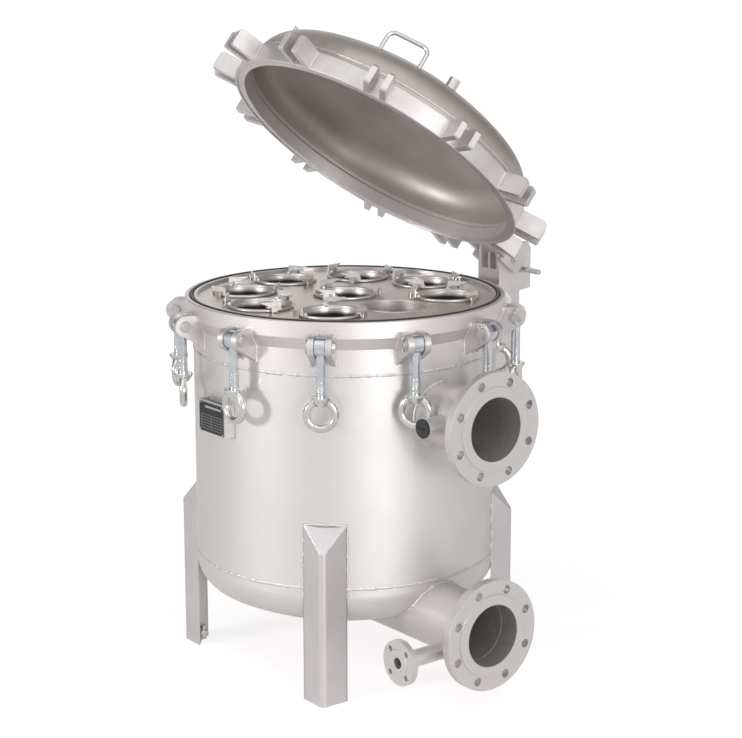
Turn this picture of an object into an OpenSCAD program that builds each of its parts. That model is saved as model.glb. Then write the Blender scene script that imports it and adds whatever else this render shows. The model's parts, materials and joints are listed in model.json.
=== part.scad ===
// Multi-bag filter housing with a swing-bolt lid, shown with the lid open.
// Millimetres, +Z up. The origin is on the floor under the vessel's axis.
// The nozzles point to -Y and the lid's hinge stands on +X.

/* [Vessel] */
// outer diameter of the shell
shell_d = 800; // [780:5:820]
// thickness of the shell and of both dished heads
wall = 5; // [4:0.5:6]
// height of the lower shell weld above the floor
shell_low = 298; // [294:1:310]
// height of the closure's joint face above the floor
joint_z = 983.5; // [975:0.5:995]
// height of the closure ring's straight rim
ring_h = 41; // [36:1:46]

/* [Nozzles] */
// distance from the lug pins' circle out to the nozzle faces
nozzle_out = 150; // [145:1:190]
// height of the inlet's axis
inlet_z = 730; // [715:1:740]
// height of the outlet's axis
outlet_z = 202; // [198:0.5:206]
// outer diameter of the nozzle pipes
pipe_d = 168.3; // [165:0.1:170]
// wall of the nozzle pipes
pipe_t = 4.5; // [3:0.5:6]
// outer diameter of the nozzle flanges
flange_d = 285; // [280:1:290]
// thickness of the nozzle flanges
flange_t = 22; // [18:1:26]
// bolt circle of the nozzle flanges
bolt_circle = 240; // [238:1:242]
// bolt holes of the nozzle flanges
bolt_hole = 22; // [18:1:23]
// raised face of the nozzle flanges
face_d = 212; // [204:1:212]
// outer diameter of the drain pipe
drain_d = 42.4; // [33.7:0.1:44]
// outer diameter of the drain flange
drain_flange_d = 115; // [110:1:120]
// bore of the drain flange
drain_bore = 28.5; // [25:0.5:30]
// bolt circle of the drain flange
drain_circle = 85; // [82:1:88]
// bolt holes of the drain flange
drain_hole = 14; // [12:0.5:15]
// outer diameter of the gauge socket
socket_d = 50; // [46:1:54]

/* [Swing bolts] */
// diameter of the bolt shafts
bolt_d = 24; // [20:1:24]
// length from the pivot to the bolt's end
bolt_len = 144; // [138:1:150]
// thickness of the lug plates
lug_t = 16; // [14:1:17]
// gap between the two plates of a lug
lug_gap = 28; // [27:0.5:29]
// diameter of the lug pins
lug_pin = 22; // [18:1:24]
// outer diameter of an eye nut's ring
eye_d = 90; // [84:1:92]
// thickness of an eye nut's ring
eye_t = 20; // [16:1:20]

/* [Lid] */
// height of the lid's ring
lid_ring_h = 50; // [46:1:54]
// angle that the lid is shown open
lid_open = 38.4; // [34:0.1:42]
// width of the handle between its legs
handle_w = 110; // [90:1:140]
// diameter of the handle's bar
handle_t = 11; // [8:0.5:14]

/* [Bags] */
// thickness of the tube plate
plate_t = 12; // [10:1:14]
// length of the bag baskets
basket_len = 440; // [300:10:480]

/* [Legs] */
// width of the leg angle's flanges
leg_w = 80; // [80:1:90]
// thickness of the leg angles
leg_t = 8; // [6:0.5:10]
// height of the outer corner of a leg's sloping cap
cap_z = 396; // [380:1:410]

/* [Hidden] */
$fn = 72;
fine = 360;

// shared fits
running = 0.05;
seat_gap = 0.3;

shell_r = shell_d / 2;
neck_low = joint_z - 137.5;
ring_r = shell_r + 20;
rim_in = shell_r - 12;
ring_low = joint_z - ring_h;
cone_low = ring_low - 31.5;

// gasket groove in the closure ring
groove_r = shell_r + 3;
gasket_t = 12;
groove_w = gasket_t + 2 * seat_gap;
groove_z = joint_z - 9.1;

plate_top = joint_z - 8.5;
plate_low = plate_top - plate_t;

// bag seats around the centre; the inlet takes the eighth place
seat_pitch = shell_r - 132;
arm_r = seat_pitch * sin(22.5) - 1.56;
seat_r = arm_r - 21;
collar_t = 3.5;
collar_low = plate_top - 40;
seat_angles = [315, 0, 45, 90, 135, 180, 225];
seat_turns = [35, 98, 103, 36, 70, 14, 50];
centre_turn = 84;

pipe_r = pipe_d / 2;
bore_r = pipe_r - pipe_t;
riser_y = -204;
elbow_r = 176;
elbow_y = riser_y - elbow_r;
// the outlet pipe is a little thicker than the inlet pipe
outlet_bore_r = bore_r - 1;
face_h = 3;
hub_len = 32;
lug_r = ring_r + 30;
lug_count = 12;
lug_step = 360 / lug_count;
reach = lug_r + nozzle_out;
flange_back = reach - face_h - flange_t;

// dished head: crown radius equal to the diameter, knuckle a tenth of it
crown_r = shell_d;
knuckle_r = shell_d / 10;
head_straight = 22;
head_c = shell_r - knuckle_r;
head_b = sqrt(pow(crown_r - knuckle_r, 2) - pow(head_c, 2));
head_a = atan2(head_c, head_b);

// the drain branch stands just behind the flange's hub
weld_gap = 1;
drain_x = -241;
drain_y = drain_d / 2 + weld_gap + hub_len - flange_back;
drain_z = outlet_z - 38;
drain_flange_t = 18;
// the socket stands past the eye nut beside the neck
socket_y = -62.3 - lug_r * cos(lug_step / 2);
socket_z = inlet_z + 5;
socket_x = -143;
socket_bore = 20;

pivot_z = joint_z - 53.5;
lug_end = 26;
lug_out = lug_gap / 2 + lug_t;
bolt_eye = 45;
bolt_eye_t = lug_gap - 3;
nut_z = bolt_len - 20;
eye_r = (eye_d - eye_t) / 2;
// the eye nut beside the inlet neck is turned until it clears the neck
neck_clear = 6.2;
eye_z = pivot_z - nut_z - eye_d / 2;
neck_half = sqrt(max(0, pow(pipe_r, 2) - pow(eye_z - inlet_z, 2)));
neck_room = lug_r * sin(lug_step / 2) - neck_half - neck_clear - eye_t / 2;
neck_turn = lug_step / 2 - acos(min(1, neck_room / eye_r));
// how far each eye nut is turned on its bolt as it hangs
nut_turns = [20, -25, 10, -15, -5, -17, -13, 5, neck_turn, 90, -13, 68];
pin_r = lug_pin / 2;

lid_z = joint_z + seat_gap;
lid_top = lid_z + lid_ring_h;
lid_lug_out = ring_r + 68;
lid_straight = 19;
dome_z = lid_top + lid_straight;
hinge_x = ring_r + 130;
hinge_z = joint_z + 38.5;
hinge_pin = 20;
post_gap = 32;
post_t = 12;
arm_y = 45;
arm_t = 15;
lock_x = hinge_x + 38;
lock_z = hinge_z - 34;
lock_d = 15;
lock_head_d = lock_d + 7;
// the arms' heels stay inside the lock pin's head as they turn
heel_r = norm([lock_x - hinge_x, lock_z - hinge_z]) - lock_head_d / 2 - 1.5;
heel_x = sqrt(heel_r * heel_r - 17 * 17);

handle_r = 328;
handle_a = 223;
handle_z = dome_z + 137;
handle_bend = 20;
vent_r = 300;
vent_a = 250;
vent_d = 30;
stub_r = 365;
stub_a = 168;

leg_r = shell_r + 52;
leg_corner = 14;
cap_slope = 52;
cap_t = 6;
foot_t = 10;
foot_in = 38;
anchor_d = 16;

// outer shape of a dished head's half section, dish upwards from zero
module head_half(grow) {
  crown = crown_r - grow;
  knuckle = knuckle_r - grow;
  intersection() {
    square([shell_r, crown_r]);
    union() {
      intersection() {
        translate([0, -head_b])
          circle(crown, $fn = 2 * fine);
        polygon([[0, -head_b], [0, crown_r], [(crown_r + head_b) * tan(head_a), crown_r]]);
      }
      translate([head_c, 0])
        circle(knuckle, $fn = fine);
      square([head_c, knuckle * cos(head_a)]);
    }
  }
}

// wall of a dished head with its straight flange below zero
module head_wall(straight) {
  rotate_extrude($fn = fine) {
    difference() {
      head_half(0);
      head_half(wall);
    }
    translate([shell_r - wall, -straight])
      square([wall, straight]);
  }
}

// solid of a dished head, to cut other pieces back to it
module head_solid(straight) {
  rotate_extrude($fn = fine) {
    head_half(0);
    translate([0, -straight])
      square([shell_r, straight]);
  }
}

module place_bottom() {
  translate([0, 0, shell_low - head_straight])
    mirror([0, 0, 1])
      children();
}

module vessel_solid() {
  translate([0, 0, shell_low])
    cylinder(r = shell_r, h = neck_low - shell_low, $fn = fine);
  rotate_extrude($fn = fine)
    polygon([
      [0, neck_low], [shell_r, neck_low], [shell_r, cone_low],
      [ring_r, ring_low], [ring_r, joint_z], [0, joint_z]
    ]);
}

// a plate standing on a radius: its outline is drawn as radius and height
module radial_plate(off, thick) {
  translate([0, off + thick, 0])
    rotate([90, 0, 0])
      linear_extrude(thick)
        children();
}

module along_y(y, z) {
  translate([0, y, z])
    rotate([90, 0, 0])
      children();
}

module pipe_cut(z, inner) {
  along_y(-inner, z)
    cylinder(r = pipe_r, h = shell_r + 100, $fn = fine);
}

module shell() {
  color("#b9b5ae")
    difference() {
      translate([0, 0, shell_low])
        cylinder(r = shell_r, h = neck_low - shell_low, $fn = fine);
      translate([0, 0, shell_low - 1])
        cylinder(r = shell_r - wall, h = neck_low - shell_low + 2, $fn = fine);
      pipe_cut(inlet_z, shell_r - 120);
    }
}

module bottom_head() {
  color("#b9b5ae")
    difference() {
      place_bottom()
        head_wall(head_straight);
      pipe_cut(outlet_z, 150);
    }
}

module closure_ring() {
  color("#b4aea6")
    rotate_extrude($fn = fine)
      difference() {
        polygon([
          [rim_in, joint_z], [ring_r - 2, joint_z], [ring_r, joint_z - 2],
          [ring_r, ring_low], [shell_r, cone_low], [shell_r, neck_low],
          [shell_r - wall, neck_low], [shell_r - wall, plate_low - 40],
          [rim_in - 8, plate_low - 14], [rim_in - 8, plate_low],
          [rim_in, plate_low]
        ]);
        translate([groove_r - groove_w / 2, groove_z])
          square([groove_w, 20]);
      }
}

module o_ring() {
  color("#17181a")
    translate([0, 0, groove_z + 0.1 + gasket_t / 2])
      rotate_extrude()
        translate([groove_r, 0])
          circle(d = gasket_t);
}

module at_seats() {
  children();
  for (a = seat_angles)
    rotate([0, 0, a])
      translate([seat_pitch, 0, 0])
        rotate([0, 0, -a])
          children();
}

module seat_studs(turn) {
  for (k = [0:2])
    rotate([0, 0, turn + 120 * k])
      translate([arm_r - 9.5, 0, plate_top]) {
        cylinder(d = 7, h = 9);
        translate([0, 0, 5])
          cylinder(d = 11, h = 8);
      }
}

module seat_collar() {
  translate([0, 0, collar_low])
    difference() {
      cylinder(r = seat_r + collar_t, h = plate_low - collar_low);
      translate([0, 0, 3])
        cylinder(r = seat_r, h = 60);
      translate([0, 0, -1])
        cylinder(r = seat_r - 5, h = 60);
    }
}

module tube_plate() {
  color("#a39a92") {
    difference() {
      translate([0, 0, plate_low])
        cylinder(r = rim_in, h = plate_t);
      translate([0, 0, plate_low - 1])
        at_seats()
          cylinder(r = seat_r, h = plate_t + 2);
      translate([0, riser_y, plate_low - 1])
        cylinder(r = pipe_r, h = plate_t + 2);
    }
    at_seats()
      seat_collar();
    seat_studs(centre_turn);
    for (i = [0:6])
      rotate([0, 0, seat_angles[i]])
        translate([seat_pitch, 0, 0])
          rotate([0, 0, seat_turns[i] - seat_angles[i]])
            seat_studs(0);
  }
}

module bag_baskets() {
  color("#8f8a84")
    translate([0, 0, collar_low + 3 + seat_gap])
      at_seats()
        rotate_extrude()
          polygon([
            [seat_r - 8, 3], [seat_r - seat_gap, 3], [seat_r - seat_gap, 0],
            [seat_r - 6, 0], [seat_r - 6, -basket_len], [0, -basket_len],
            [0, 2 - basket_len], [seat_r - 8, 2 - basket_len]
          ]);
}

// ring with a conical skirt that presses on the basket's rim
module hold_down(turn) {
  skirt_low = collar_low + 3 + seat_gap + 3.4;
  color("#c9c4bd")
    rotate([0, 0, turn]) {
      rotate_extrude() {
        translate([seat_r + 1.5, plate_top + 4 + seat_gap])
          circle(4);
        polygon([
          [seat_r + 1, plate_top + 5], [seat_r - 2, plate_top + 1],
          [seat_r - 6, skirt_low], [seat_r - 8, skirt_low],
          [seat_r - 4, plate_top + 1], [seat_r - 2, plate_top + 5]
        ]);
      }
      for (k = [0:2])
        rotate([0, 0, 120 * k])
          hold_arm();
    }
}

// bent strap that reaches over a stud of the tube plate
module hold_arm() {
  strap = 2.5;
  top = plate_top + 17;
  radial_plate(-8, 16)
    polygon([
      [seat_r + 1, plate_top + 6], [seat_r + 3, plate_top + 6],
      [seat_r + 3.5, top - strap], [arm_r - strap, top - strap],
      [arm_r - strap, plate_top + 3], [arm_r, plate_top + 3],
      [arm_r, top], [seat_r + 1, top]
    ]);
  radial_plate(-20, 12)
    polygon([
      [arm_r - 12, top - strap], [arm_r, top - strap],
      [arm_r, top], [arm_r - 12, top]
    ]);
}

module hold_down_at(i) {
  rotate([0, 0, seat_angles[i]])
    translate([seat_pitch, 0, 0])
      hold_down(seat_turns[i] - seat_angles[i]);
}

module hold_down_1() hold_down(centre_turn);
module hold_down_2() hold_down_at(0);
module hold_down_3() hold_down_at(1);
module hold_down_4() hold_down_at(2);
module hold_down_5() hold_down_at(3);
module hold_down_6() hold_down_at(4);
module hold_down_7() hold_down_at(5);
module hold_down_8() hold_down_at(6);

// inlet neck, elbow and riser up through the tube plate
module inlet_run(r, over) {
  along_y(elbow_y, inlet_z)
    cylinder(r = r, h = flange_back - hub_len + elbow_y + over);
  translate([0, elbow_y, inlet_z + elbow_r])
    rotate([0, 90, 0])
      rotate_extrude(angle = 90)
        translate([elbow_r, 0])
          circle(r);
  translate([0, riser_y, inlet_z + elbow_r])
    cylinder(r = r, h = plate_top - inlet_z - elbow_r + over);
}

module inlet_pipe() {
  color("#b4afa8")
    difference() {
      inlet_run(pipe_r, 0);
      inlet_run(bore_r, 1);
      socket_run(socket_bore + 0.5, 0);
    }
}

module weld_neck_flange(z) {
  along_y(-(flange_back - hub_len), z)
    difference() {
      union() {
        cylinder(r1 = pipe_r, r2 = pipe_r + 12, h = hub_len);
        translate([0, 0, hub_len])
          cylinder(d = flange_d, h = flange_t);
        translate([0, 0, hub_len + flange_t])
          cylinder(d = face_d, h = face_h);
      }
      translate([0, 0, -1])
        cylinder(r = bore_r, h = hub_len + flange_t + face_h + 2);
      for (k = [0:7])
        rotate([0, 0, 22.5 + 45 * k])
          translate([bolt_circle / 2, 0, hub_len - 20])
            cylinder(d = bolt_hole, h = flange_t + 40);
    }
}

module inlet_flange() {
  color("#bab6b0")
    weld_neck_flange(inlet_z);
}

module outlet_pipe() {
  color("#b4afa8")
    difference() {
      along_y(-58, outlet_z)
        cylinder(r = pipe_r, h = flange_back - hub_len - 58);
      along_y(-62, outlet_z)
        cylinder(r = outlet_bore_r, h = flange_back);
      place_bottom()
        head_solid(head_straight);
      drain_run(drain_d / 2 - 3, 60);
    }
}

module outlet_flange() {
  color("#bab6b0")
    weld_neck_flange(outlet_z);
}

module drain_run(r, inner) {
  translate([-inner, drain_y, drain_z])
    rotate([0, -90, 0])
      cylinder(r = r, h = -drain_x - drain_flange_t - inner);
}

module socket_run(r, over) {
  translate([-50, socket_y, socket_z])
    rotate([0, -90, 0])
      cylinder(r = r, h = -socket_x - 50 + over);
}

module branches() {
  color("#b4afa8")
    difference() {
      union() {
        drain_run(drain_d / 2, 40);
        socket_run(socket_d / 2, 0);
      }
      drain_run(drain_d / 2 - 3, 30);
      socket_run(socket_bore, 1);
      along_y(-300, outlet_z)
        cylinder(r = pipe_r, h = 400);
      along_y(-300, inlet_z)
        cylinder(r = pipe_r, h = 400);
    }
}

module drain_flange() {
  color("#bab6b0")
    translate([drain_x + drain_flange_t, drain_y, drain_z])
      rotate([0, -90, 0])
        difference() {
          union() {
            cylinder(d = drain_flange_d, h = drain_flange_t - 2);
            cylinder(d = 68, h = drain_flange_t);
          }
          translate([0, 0, -1])
            cylinder(d = drain_bore, h = drain_flange_t + 2);
          for (k = [0:3])
            rotate([0, 0, 45 + 90 * k])
              translate([drain_circle / 2, 0, -1])
                cylinder(d = drain_hole, h = drain_flange_t + 2);
        }
}

// slotted plug in the gauge socket
module plug() {
  color("#131416")
    translate([socket_x, socket_y, socket_z])
      rotate([0, -90, 0])
        difference() {
          union() {
            translate([0, 0, -16])
              cylinder(r = socket_bore - running, h = 17);
            translate([0, 0, seat_gap])
              cylinder(d = socket_d - 2, h = 5);
          }
          translate([-1.5, -15, 3])
            cube([3, 30, 4]);
        }
}

module leg_outline(w, r) {
  difference() {
    square([w, w]);
    square([r, r]);
  }
  translate([r, r])
    intersection() {
      circle(r);
      translate([-r, -r])
        square([r, r]);
    }
}

module cap_place() {
  translate([leg_r, 0, cap_z])
    rotate([0, cap_slope, 0])
      children();
}

module corner_place() {
  translate([leg_r, 0, 0])
    rotate([0, 0, 135])
      children();
}

module leg() {
  difference() {
    union() {
      corner_place()
        linear_extrude(520)
          difference() {
            leg_outline(leg_w, leg_corner);
            translate([leg_t, leg_t])
              leg_outline(leg_w, leg_corner - leg_t + 2);
          }
      intersection() {
        corner_place()
          translate([2, 2, 0])
            linear_extrude(520)
              leg_outline(leg_w - 3, leg_corner);
        cap_place()
          translate([-200, -100, -cap_t])
            cube([220, 200, cap_t]);
      }
      corner_place()
        translate([leg_t - 1, leg_t - 1, 0])
          cube([leg_w - leg_t - 8, leg_w - leg_t - 8, foot_t]);
    }
    cap_place()
      translate([-300, -150, 0])
        cube([400, 300, 200]);
    cylinder(r = shell_r, h = 700, $fn = fine);
    corner_place()
      translate([foot_in, foot_in, -1])
        cylinder(d = anchor_d + 2, h = foot_t + 2);
  }
}

module legs() {
  color("#aeaaa4")
    for (k = [0:3])
      rotate([0, 0, 45 + 90 * k])
        leg();
}

module foot_bolts() {
  color("#9b9d9c")
    for (k = [0:3])
      rotate([0, 0, 45 + 90 * k])
        corner_place()
          translate([foot_in, foot_in, 0]) {
            cylinder(d = anchor_d, h = 39);
            translate([0, 0, foot_t])
              cylinder(d = 28, h = 3);
            translate([0, 0, foot_t + 3])
              cylinder(d = 27.7, h = 13, $fn = 6);
          }
}

module at_lugs() {
  for (k = [0:lug_count - 1])
    rotate([0, 0, lug_step * (k + 0.5)])
      children();
}

// outline of a lug ear: round end with a tangent to its root
module ear() {
  root_r = shell_r - 5;
  root_z = pivot_z - 62;
  reach_r = lug_r - root_r;
  far = sqrt(reach_r * reach_r + 62 * 62);
  turn = atan2(62, reach_r) - asin(lug_end / far);
  run = sqrt(far * far - lug_end * lug_end);
  translate([lug_r, pivot_z])
    circle(lug_end);
  polygon([
    [lug_r, pivot_z + lug_end], [root_r, pivot_z + lug_end],
    [root_r, root_z], [root_r + run * cos(turn), root_z + run * sin(turn)],
    [lug_r, pivot_z]
  ]);
}

module bolt_lugs() {
  color("#b8b3ac")
    difference() {
      at_lugs() {
        radial_plate(lug_gap / 2, lug_t)
          ear();
        radial_plate(-lug_out, lug_t)
          ear();
      }
      vessel_solid();
      at_lugs()
        radial_plate(-lug_out - 1, 2 * lug_out + 2)
          translate([lug_r, pivot_z])
            circle(pin_r + running);
    }
}

module lug_pins() {
  color("#b5b6b2")
    at_lugs()
      translate([lug_r, 0, pivot_z]) {
        rotate([90, 0, 0])
          cylinder(r = pin_r, h = 2 * lug_out + 14, center = true);
        translate([0, lug_out + seat_gap, 0])
          rotate([-90, 0, 0])
            cylinder(r1 = pin_r + 4, r2 = pin_r + 2, h = 6);
        translate([0, -lug_out - seat_gap - 2.5, 0])
          rotate([-90, 0, 0])
            cylinder(r = pin_r + 6, h = 2.5);
      }
}

// one swing bolt, hanging from its pivot
module swing_bolt(k) {
  color("#a9b0b3")
    rotate([0, 0, lug_step * (k + 0.5)])
      translate([lug_r, 0, pivot_z])
        difference() {
          union() {
            rotate([90, 0, 0])
              cylinder(d = bolt_eye, h = bolt_eye_t, center = true);
            translate([0, 0, -bolt_len])
              cylinder(d = bolt_d, h = bolt_len - 14);
            translate([0, 0, -bolt_len - 2])
              cylinder(d1 = bolt_d - 4, d2 = bolt_d, h = 2);
          }
          rotate([90, 0, 0])
            cylinder(r = pin_r + running, h = 60, center = true);
        }
}

// one eye nut near the end of its bolt
module eye_nut(k) {
  color("#b9bbb0")
    rotate([0, 0, lug_step * (k + 0.5)])
      translate([lug_r, 0, pivot_z - nut_z])
        rotate([0, 0, nut_turns[k]])
          difference() {
            union() {
              rotate_extrude()
                polygon([[0, 0], [24, 0], [25, -2], [25, -7], [20, -15], [15, -22], [0, -22]]);
              translate([0, 0, -eye_d / 2])
                rotate([0, 90, 0])
                  rotate_extrude()
                    translate([eye_r, 0])
                      circle(d = eye_t);
            }
            translate([0, 0, -30])
              cylinder(d = bolt_d + 2 * running, h = 40);
          }
}

module swing_bolt_01() swing_bolt(0);
module swing_bolt_02() swing_bolt(1);
module swing_bolt_03() swing_bolt(2);
module swing_bolt_04() swing_bolt(3);
module swing_bolt_05() swing_bolt(4);
module swing_bolt_06() swing_bolt(5);
module swing_bolt_07() swing_bolt(6);
module swing_bolt_08() swing_bolt(7);
module swing_bolt_09() swing_bolt(8);
module swing_bolt_10() swing_bolt(9);
module swing_bolt_11() swing_bolt(10);
module swing_bolt_12() swing_bolt(11);

module eye_nut_01() eye_nut(0);
module eye_nut_02() eye_nut(1);
module eye_nut_03() eye_nut(2);
module eye_nut_04() eye_nut(3);
module eye_nut_05() eye_nut(4);
module eye_nut_06() eye_nut(5);
module eye_nut_07() eye_nut(6);
module eye_nut_08() eye_nut(7);
module eye_nut_09() eye_nut(8);
module eye_nut_10() eye_nut(9);
module eye_nut_11() eye_nut(10);
module eye_nut_12() eye_nut(11);

// the lid is drawn closed and turned open about its hinge
module lid_pose() {
  translate([hinge_x, 0, hinge_z])
    rotate([0, lid_open, 0])
      translate([-hinge_x, 0, -hinge_z])
        children();
}

module lid_ring() {
  color("#b1aba4")
    lid_pose()
      rotate_extrude($fn = fine)
        polygon([
          [ring_r - 7, lid_z], [ring_r - 2, lid_z], [ring_r, lid_z + 2],
          [ring_r, lid_top], [shell_r - wall, lid_top],
          [shell_r - wall, lid_top - 9], [shell_r - 8, lid_top - 14],
          [shell_r - 8, lid_z + 3.2], [ring_r - 7, lid_z + 3.2]
        ]);
}

module lid_dome() {
  color("#aca69f")
    lid_pose()
      translate([0, 0, dome_z])
        head_wall(lid_straight);
}

module lid_lugs() {
  low = lid_z + 1;
  top = low + 51;
  color("#b8b3ac")
    lid_pose()
      difference() {
        at_lugs() {
          radial_plate(lug_gap / 2, lug_t)
            lid_ear(low, top);
          radial_plate(-lug_out, lug_t)
            lid_ear(low, top);
        }
        translate([0, 0, low - 1])
          cylinder(r = ring_r, h = 60, $fn = fine);
      }
}

module lid_ear(low, top) {
  polygon([
    [ring_r - 10, low], [lid_lug_out - 4, low], [lid_lug_out, low + 4],
    [lid_lug_out, top - 7], [lid_lug_out - 7, top], [ring_r - 10, top]
  ]);
}

module arm_outline() {
  polygon([
    [ring_r - 15, lid_z + 24], [hinge_x - 45, lid_z + 24],
    [hinge_x - 45, hinge_z - 32], [hinge_x + 26, hinge_z - 32],
    [hinge_x + heel_x, hinge_z - 17], [hinge_x + heel_x, hinge_z + 14],
    [hinge_x + 28, hinge_z + 28], [hinge_x - 50, hinge_z + 28],
    [ring_r + 20, lid_top], [ring_r - 15, lid_top]
  ]);
}

module lid_arms() {
  color("#aeaaa4")
    lid_pose()
      difference() {
        union() {
          radial_plate(arm_y, arm_t)
            arm_outline();
          radial_plate(-arm_y - arm_t, arm_t)
            arm_outline();
        }
        translate([0, 0, lid_z - 10])
          cylinder(r = ring_r, h = 100, $fn = fine);
        translate([hinge_x, 0, hinge_z])
          rotate([90, 0, 0])
            cylinder(d = hinge_pin + 2 * running, h = 200, center = true);
      }
}

module lid_handle() {
  half = handle_w / 2;
  color("#a8a39c")
    lid_pose()
      difference() {
        rotate([0, 0, handle_a])
          translate([handle_r, 0, 0]) {
            for (s = [-1, 1])
              translate([0, s * half, dome_z + 60])
                cylinder(d = handle_t, h = handle_z - handle_bend - dome_z - 60);
            translate([0, 0, handle_z])
              rotate([90, 0, 0])
                cylinder(d = handle_t, h = handle_w - 2 * handle_bend, center = true);
            for (s = [0, 1])
              mirror([0, s, 0])
                translate([0, half - handle_bend, handle_z - handle_bend])
                  rotate([90, 0, 90])
                    rotate_extrude(angle = 90)
                      translate([handle_bend, 0])
                        circle(d = handle_t);
          }
        translate([0, 0, dome_z])
          head_solid(10);
      }
}

module lid_fittings() {
  color("#a8a39c")
    lid_pose()
      difference() {
        union() {
          rotate([0, 0, vent_a])
            translate([vent_r, 0, dome_z + 60])
              difference() {
                cylinder(d = vent_d, h = 60);
                translate([0, 0, 45])
                  cylinder(d = 19, h = 20);
              }
          rotate([0, 0, stub_a])
            translate([stub_r, 0, dome_z + 20])
              cylinder(d = 10, h = 56);
        }
        translate([0, 0, dome_z])
          head_solid(10);
      }
}

module post_outline() {
  polygon([
    [shell_r - 5, neck_low - 146], [hinge_x + 32, neck_low - 146],
    [hinge_x + 32, hinge_z - 94], [hinge_x + 72, hinge_z - 90],
    [hinge_x + 72, hinge_z + 24], [hinge_x + 60, hinge_z + 42],
    [hinge_x - 45, hinge_z + 42], [hinge_x - 45, joint_z - 30],
    [shell_r - 5, joint_z - 60]
  ]);
}

module hinge_post() {
  color("#a9a49d")
    difference() {
      union() {
        radial_plate(post_gap, post_t)
          post_outline();
        radial_plate(-post_gap - post_t, post_t)
          post_outline();
        translate([hinge_x - 45, -post_gap, joint_z - 36])
          cube([8, 2 * post_gap, 46]);
        translate([hinge_x - 45, -3, joint_z - 36])
          cube([20, 6, 90]);
      }
      vessel_solid();
      translate([hinge_x, 0, hinge_z])
        rotate([90, 0, 0])
          cylinder(d = hinge_pin + 2 * running, h = 200, center = true);
      translate([lock_x, 0, lock_z])
        rotate([90, 0, 0])
          cylinder(d = lock_d + 2 * running, h = 200, center = true);
    }
}

// hinge pin with a washer and a clip at each end, and the lock pin
module hinge_pins() {
  side = arm_y + arm_t + seat_gap;
  color("#b5b6b2") {
    translate([hinge_x, 0, hinge_z])
      rotate([90, 0, 0])
        cylinder(d = hinge_pin, h = 2 * side + 18, center = true);
    for (s = [0, 1])
      mirror([0, s, 0])
        translate([hinge_x, side, hinge_z])
          rotate([-90, 0, 0])
            cylinder(d = hinge_pin + 12, h = 2.5);
    translate([lock_x, post_gap + post_t + 8, lock_z])
      rotate([90, 0, 0]) {
        cylinder(d = lock_d, h = 168);
        translate([0, 0, 2 * (post_gap + post_t) + 8 + seat_gap])
          cylinder(d = lock_head_d, h = 4);
      }
  }
}

// stand-off bracket and the plate it carries
module plate_bracket() {
  front = shell_r + 26;
  color("#b7b3ad")
    difference() {
      translate([-front, -58, 664])
        cube([60, 116, 84]);
      translate([2.5 - front, -55.5, 660])
        cube([80, 111, 92]);
      translate([0, 0, 600])
        cylinder(r = shell_r, h = 200, $fn = fine);
      for (y = [-50, 50], z = [671, 741])
        translate([-front - 1, y, z])
          rotate([0, 90, 0])
            cylinder(d = 4, h = 8);
    }
}

module name_plate() {
  face = shell_r + 26;
  color("#121314")
    difference() {
      translate([-face - 1.5, -54, 667])
        cube([1.5, 108, 78]);
      for (y = [-50, 50], z = [671, 741])
        translate([-face - 2, y, z])
          rotate([0, 90, 0])
            cylinder(d = 4, h = 8);
    }
}

shell();
bottom_head();
closure_ring();
tube_plate();
o_ring();
inlet_pipe();
inlet_flange();
outlet_pipe();
outlet_flange();
branches();
drain_flange();
plug();
legs();
foot_bolts();
bolt_lugs();
lug_pins();
hinge_post();
hinge_pins();
plate_bracket();
name_plate();
bag_baskets();
lid_ring();
lid_dome();
lid_lugs();
lid_arms();
lid_handle();
lid_fittings();
swing_bolt_01();
swing_bolt_02();
swing_bolt_03();
swing_bolt_04();
swing_bolt_05();
swing_bolt_06();
swing_bolt_07();
swing_bolt_08();
swing_bolt_09();
swing_bolt_10();
swing_bolt_11();
swing_bolt_12();
eye_nut_01();
eye_nut_02();
eye_nut_03();
eye_nut_04();
eye_nut_05();
eye_nut_06();
eye_nut_07();
eye_nut_08();
eye_nut_09();
eye_nut_10();
eye_nut_11();
eye_nut_12();
hold_down_1();
hold_down_2();
hold_down_3();
hold_down_4();
hold_down_5();
hold_down_6();
hold_down_7();
hold_down_8();
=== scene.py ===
"""Looks of a multi-bag filter housing: blasted steel, weld beads, threads and a plain studio."""
import json
import logging
import math
from dataclasses import dataclass, field
from enum import Enum
from typing import Sequence

import bmesh
import bpy
from mathutils import Matrix, Vector


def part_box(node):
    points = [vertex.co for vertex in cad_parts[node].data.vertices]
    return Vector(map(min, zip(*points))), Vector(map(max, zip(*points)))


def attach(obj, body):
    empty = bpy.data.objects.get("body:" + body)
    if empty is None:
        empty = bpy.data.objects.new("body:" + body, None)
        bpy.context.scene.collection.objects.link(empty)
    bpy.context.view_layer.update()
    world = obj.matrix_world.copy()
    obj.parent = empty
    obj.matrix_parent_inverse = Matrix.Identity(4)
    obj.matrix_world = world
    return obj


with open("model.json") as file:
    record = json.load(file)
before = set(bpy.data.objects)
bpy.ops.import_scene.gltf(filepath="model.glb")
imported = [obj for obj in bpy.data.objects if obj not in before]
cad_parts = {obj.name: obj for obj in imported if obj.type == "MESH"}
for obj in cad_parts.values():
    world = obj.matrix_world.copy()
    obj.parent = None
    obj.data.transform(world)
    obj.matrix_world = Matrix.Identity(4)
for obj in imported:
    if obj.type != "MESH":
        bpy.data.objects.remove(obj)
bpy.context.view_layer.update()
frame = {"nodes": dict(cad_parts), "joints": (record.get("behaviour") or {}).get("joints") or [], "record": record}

LOG = logging.getLogger("filter_housing")
MM = 0.001
FULL_TURN = 2 * math.pi
HOUSING = "housing"
LID = "lid"
LUG_COUNT = 12
# A weld's passes lie about 11 mm apart.
RIPPLES_PER_M = 90.0
# Radius of a thread's ridge for each millimetre of pitch.
RIDGE_SHARE = 0.42
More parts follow.
